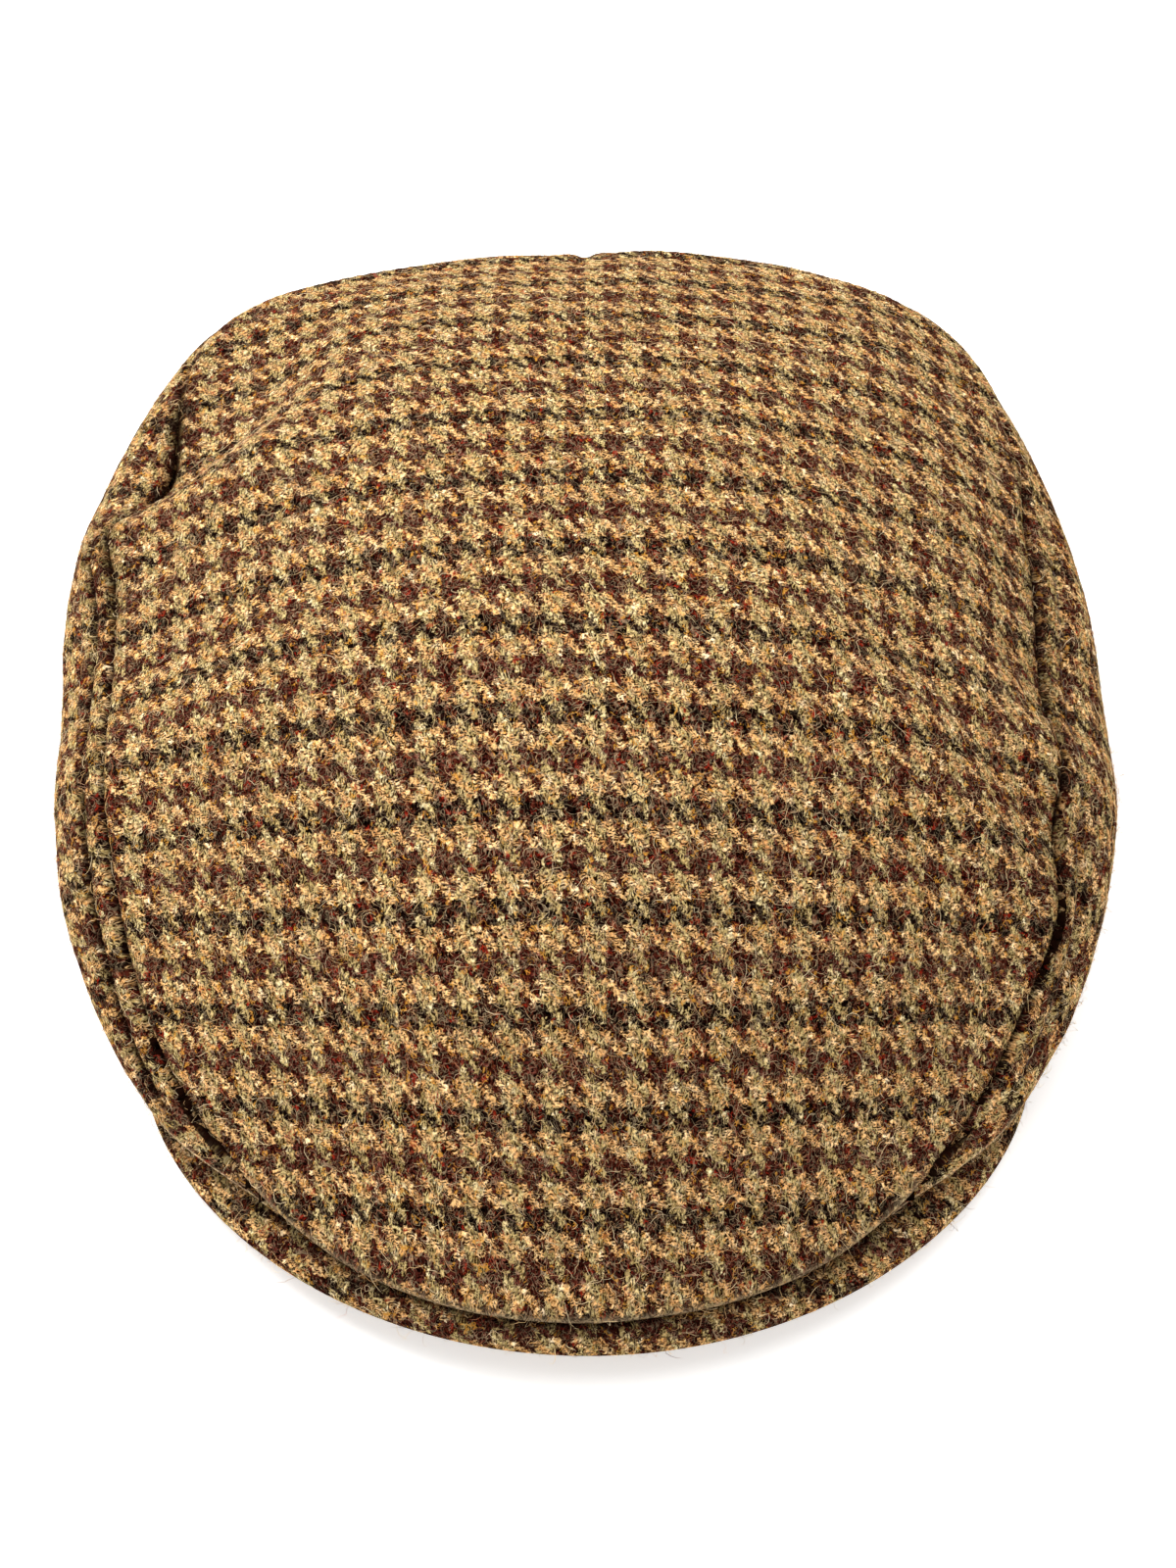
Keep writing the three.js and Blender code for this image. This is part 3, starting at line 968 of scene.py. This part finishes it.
def make_peak():
    """The stiff peak in its tweed cover, rounded along its edges"""
    net = bmesh.new()
    net.from_mesh(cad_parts["peak"].data)
    bmesh.ops.remove_doubles(net, verts=net.verts, dist=0.01 * MM)
    upper = {vert for face in net.faces if face.normal.z > 0.6 for vert in face.verts}
    weave = net.loops.layers.uv.new("Weave")
    outward = {vert: ((vert.co - PEAK_CENTRE) * Vector((1, 1, 0))).normalized() for vert in net.verts}
    for vert in net.verts:
        vert.co += outward[vert] * PEAK_FULLNESS
    for face in net.faces:
        for loop in face.loops:
            place = loop.vert.co.copy()
            if loop.vert not in upper:
                place += outward[loop.vert] * PEAK_EDGE
            loop[weave].uv = (place.x / END_PITCH + 0.5, place.y / PICK_PITCH)
    bmesh.ops.join_triangles(
        net, faces=net.faces, angle_face_threshold=math.radians(40), angle_shape_threshold=math.radians(80)
    )
    border = [edge for edge in net.edges if edge.calc_face_angle(0) > math.radians(50)]
    round_off(net, border, PEAK_ROUND, 3)
    mesh = bpy.data.meshes.new("tweed_peak")
    net.to_mesh(mesh)
    net.free()
    obj = new_object("tweed_peak", mesh)
    mesh = refined(obj, 2, False)
    points = points_of(mesh)
    # Painted shadow on the peak along the cap's lower edge: the crown's front rim and the side panels' folds
    front_rim = seam.points[azimuth_of(seam.points) < FRONT_RIM]
    lower_edge = np.concatenate([front_rim, highlit_fold_places(left.data), highlit_fold_places(right.data)])
    reach = LIP_SHADE * (1 - SHADE_LOSS * fade(azimuth_of(points), *SHADE_LOST))
    keep(mesh, "crease", PEAK_SHADE * bell(nearest_distance(points, lower_edge), reach))
    return obj


peak = make_peak()

for panel, node in ((crown, "crown_top"), (left, "side_left"), (right, "side_right"), (peak, "peak")):
    panel.data.materials.clear()
    panel.data.materials.append(tweed_cloth)
    dress(panel, node)


# Stitches in the groove beside the seam


def thread_stitch():
    """One stitch, lying along x"""
    net = bmesh.new()
    bmesh.ops.create_icosphere(net, subdivisions=2, radius=1)
    bmesh.ops.scale(net, vec=(STITCH_LENGTH / 2, THREAD_RADIUS, THREAD_RADIUS), verts=net.verts)
    return net


def taken_apart(shape):
    """A small shape's points and its faces"""
    shape.verts.index_update()
    points = np.array([vert.co[:] for vert in shape.verts])
    faces = np.array([[vert.index for vert in face.verts] for face in shape.faces])
    shape.free()
    return points, faces


def many(name, points, faces):
    """A smooth mesh of copies of a shape: `points` has a row for each copy, and `faces` are those of one"""
    count, size = points.shape[:2]
    offsets = np.repeat(np.arange(count) * size, len(faces))
    mesh = bpy.data.meshes.new(name)
    mesh.from_pydata(points.reshape(-1, 3), [], (np.tile(faces, (count, 1)) + offsets[:, None]).tolist())
    mesh.polygons.foreach_set("use_smooth", [True] * len(mesh.polygons))
    return mesh


def stitches(name, panel):
    surface = bmesh.new()
    surface.from_mesh(panel.data)
    tree = BVHTree.FromBMesh(surface)
    surface.free()
    groove = points_of(panel.data)[np.abs(kept(panel.data, "below_seam") - STITCH_LINE) < STITCH_STRIP]
    side = 1 if panel is right else -1
    starts, ways = seam.at(np.arange(0, seam.total, STITCH_PITCH))
    azimuth = azimuth_of(starts)
    sewn = ((starts[:, 0] - MIDDLE_X) * side > 1 * MM) & (azimuth > STITCH_FIRST) & (azimuth < STITCH_LAST)
    corners, faces = taken_apart(thread_stitch())
    copies = []
    for start, way in zip(starts[sewn], ways[sewn]):
        beside = groove[np.argsort(np.linalg.norm(groove - start, axis=1))[:4]].mean(axis=0)
        place, normal, _, _ = tree.find_nearest(beside)
        along = (Vector(way) - normal * normal.dot(way)).normalized()
        turn = np.column_stack([along, normal.cross(along), normal])
        copies.append(corners @ turn.T + np.array(place - normal * STITCH_SINK))
    obj = new_object(name, many(name, np.array(copies), faces))
    obj.data.materials.append(thread)
    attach(obj, "root")
    return obj


left_stitches = stitches("topstitch_left", left)
right_stitches = stitches("topstitch_right", right)


# Stray wool


def scattered(mesh, count, random):
    """Places all over a mesh but few in its seams, with the way out of the cloth there"""
    mesh.calc_loop_triangles()
    corners = read(mesh.loop_triangles, "vertices", 3, np.int32)
    areas = read(mesh.loop_triangles, "area")
    likely = areas * (1 - SEAM_BARENESS * kept(mesh, "crease")[corners].mean(axis=1))
    chosen = random.choice(len(corners), count, p=likely / likely.sum())
    shares = random.dirichlet((1, 1, 1), count)[:, :, None]
    points = (points_of(mesh)[corners[chosen]] * shares).sum(axis=1)
    normals = (normals_of(mesh)[corners[chosen]] * shares).sum(axis=1)
    return points, normals / np.linalg.norm(normals, axis=1)[:, None]


FIBRE_SIDES = 3
FIBRE_RADIUS = (0.03, 0.06)  # in millimetres
FIBRE_SINK = 0.06 * MM
FIBRE_CURL = 0.55  # how much a fibre turns at each step, all along
FIBRE_WAVER = 0.45  # and from step to step
RISE_SHAPE = 1.6  # few fibres rise much higher than the others
SEAM_BARENESS = 0.8

# One row for each kind of loose fibre: its length and its rise in millimetres, and its rings of points
STRAY = {"length": (2.0, 6.5), "rise": 0.32, "rings": 6}
FUZZ = {"length": (0.9, 2.4), "rise": 0.6, "rings": 3}


def fibre_shape(rings):
    """One fibre, pointed at both ends, along z from 0 to 1"""
    net = bmesh.new()
    bmesh.ops.create_cone(net, cap_ends=False, segments=FIBRE_SIDES, radius1=1, radius2=1, depth=1)
    bmesh.ops.translate(net, vec=(0, 0, 0.5), verts=net.verts)
    upright = [edge for edge in net.edges if abs(edge.verts[0].co.z - edge.verts[1].co.z) > 0.5]
    bmesh.ops.subdivide_edges(net, edges=upright, cuts=rings - 2, use_grid_fill=True)
    bmesh.ops.triangulate(net, faces=net.faces)
    return net


def loose_wool(name, panel, kind, count, seed):
    """Fine fibres that curl over the cloth"""
    random = np.random.default_rng(seed)
    roots, normals = scattered(panel.data, count, random)
    rings = kind["rings"]
    corners, faces = taken_apart(fibre_shape(rings))
    station = corners[:, 2]
    taper = np.sqrt(np.clip(4 * station * (1 - station), 0.04, 1))

    length = random.uniform(*kind["length"], count) * MM
    lift = random.gamma(RISE_SHAPE, kind["rise"] / RISE_SHAPE, count) * MM
    radius = random.uniform(*FIBRE_RADIUS, count) * MM
    heading = random.normal(size=(count, 3))
    heading -= normals * (heading * normals).sum(axis=1)[:, None]
    heading /= np.linalg.norm(heading, axis=1)[:, None]
    aside = np.cross(normals, heading)

    # Each fibre keeps turning one way, more at some places than at others
    turns = random.normal(0, FIBRE_CURL, (count, 1)) + random.normal(0, FIBRE_WAVER, (count, rings - 1))
    angle = np.cumsum(turns, axis=1)
    step = (length / (rings - 1))[:, None]
    forward = np.cumsum(np.cos(angle) * step, axis=1)
    sideways = np.cumsum(np.sin(angle) * step, axis=1)
    start = np.zeros((count, 1))
    forward = np.hstack([start, forward])
    sideways = np.hstack([start, sideways])
    share = np.linspace(0, 1, rings)
    rise = np.sin(share * math.pi) * lift[:, None] - FIBRE_SINK
    line = roots[:, None] + heading[:, None] * forward[..., None] + aside[:, None] * sideways[..., None]
    line += normals[:, None] * rise[..., None]
    ahead = np.gradient(line, axis=1)
    ahead /= np.linalg.norm(ahead, axis=2)[..., None]
    side = np.cross(ahead, normals[:, None])
    side /= np.linalg.norm(side, axis=2)[..., None]
    over = np.cross(side, ahead)
    ring = np.rint(station * (rings - 1)).astype(int)
    thick = radius[:, None] * taper[None]
    places = line[:, ring]
    places = places + side[:, ring] * (corners[None, :, 0] * thick)[..., None]
    places = places + over[:, ring] * (corners[None, :, 1] * thick)[..., None]
    places[..., 2] = np.maximum(places[..., 2], 0)

    mesh = many(name, places, faces)
    keep(mesh, "tint", np.repeat(random.random(count), len(corners)))
    mesh.materials.append(fibre_wool)
    obj = new_object(name, mesh)
    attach(obj, "root")
    return obj


def wool_on(place, panel, strays, fuzz, seed):
    return [
        loose_wool("stray_wool_" + place, panel, STRAY, strays, seed),
        loose_wool("fuzz_" + place, panel, FUZZ, fuzz, seed + 1),
    ]


crown_wool = wool_on("crown", crown, 6000, 8000, SEED)
left_wool = wool_on("left", left, 2400, 3500, SEED + 2)
right_wool = wool_on("right", right, 2400, 3500, SEED + 4)
wool_on("peak", peak, 1500, 1500, SEED + 6)

give_wall(crown)
give_hemmed_wall(left)
give_hemmed_wall(right)


# Studio


FLOOR_RADIUS = 3
FLOOR_GLOW = 0.5
SKY_LIGHT = 0.62
LIGHT_AIM = Vector((0, 0, 0.05))

# One row for each softbox: its place and width in metres, and its power in watts
SOFTBOXES = {
    "key": {"place": (-0.9, 0.85, 1.4), "width": 1.5, "power": 40},
    "overhead": {"place": (0.05, 0.2, 1.8), "width": 1.6, "power": 18},
}


def make_floor():
    net = bmesh.new()
    bmesh.ops.create_circle(net, cap_ends=True, segments=96, radius=FLOOR_RADIUS)
    mesh = bpy.data.meshes.new("floor")
    net.to_mesh(mesh)
    net.free()
    obj = new_object("floor", mesh)
    finish = Finish("pale_floor")
    place = finish.node("ShaderNodeTexCoord", None, None, 3)
    cloud = finish.noise(place, scale=3, detail=2)
    colour = finish.ramp(cloud, [(0.3, srgb(244, 244, 243)), (0.7, srgb(248, 248, 247))])
    glow = {"Emission Color": (1, 1, 1, 1), "Emission Strength": FLOOR_GLOW}
    mesh.materials.append(finish.surface(colour, 0.9, None, 0, 0, {"Specular IOR Level": 0.1, **glow}))


def softbox(name, place, width, power):
    light = bpy.data.lights.new(name, "AREA")
    light.shape = "DISK"
    light.size = width
    light.energy = power
    obj = link(bpy.data.objects.new(name, light))
    obj.location = place
    obj.rotation_euler = (LIGHT_AIM - Vector(place)).to_track_quat("-Z", "Y").to_euler()


def make_studio():
    make_floor()
    world = bpy.data.worlds.new("studio")
    world.use_nodes = True
    world.node_tree.nodes["Background"].inputs["Color"].default_value = (1, 1, 1, 1)
    world.node_tree.nodes["Background"].inputs["Strength"].default_value = SKY_LIGHT
    bpy.context.scene.world = world
    for name, settings in SOFTBOXES.items():
        softbox(name, **settings)


LENS = 81
SENSOR = 36
CAMERA_AIM = Vector((1.7 * MM, -46.8 * MM, 80 * MM))
CAMERA_ELEVATION = math.radians(52)
CAMERA_DISTANCE = 0.708


def make_camera():
    camera = bpy.data.cameras.new("camera")
    camera.lens = LENS
    camera.sensor_width = SENSOR
    camera.sensor_fit = "AUTO"
    camera.clip_start = 0.01
    obj = link(bpy.data.objects.new("camera", camera))
    sight = Vector((0, math.cos(CAMERA_ELEVATION), -math.sin(CAMERA_ELEVATION)))
    obj.location = CAMERA_AIM - sight * CAMERA_DISTANCE
    obj.rotation_euler = (math.pi / 2 - CAMERA_ELEVATION, 0, 0)
    bpy.context.scene.camera = obj


make_studio()
make_camera()
bpy.context.scene.view_settings.view_transform = "Standard"

bpy.context.view_layer.update()
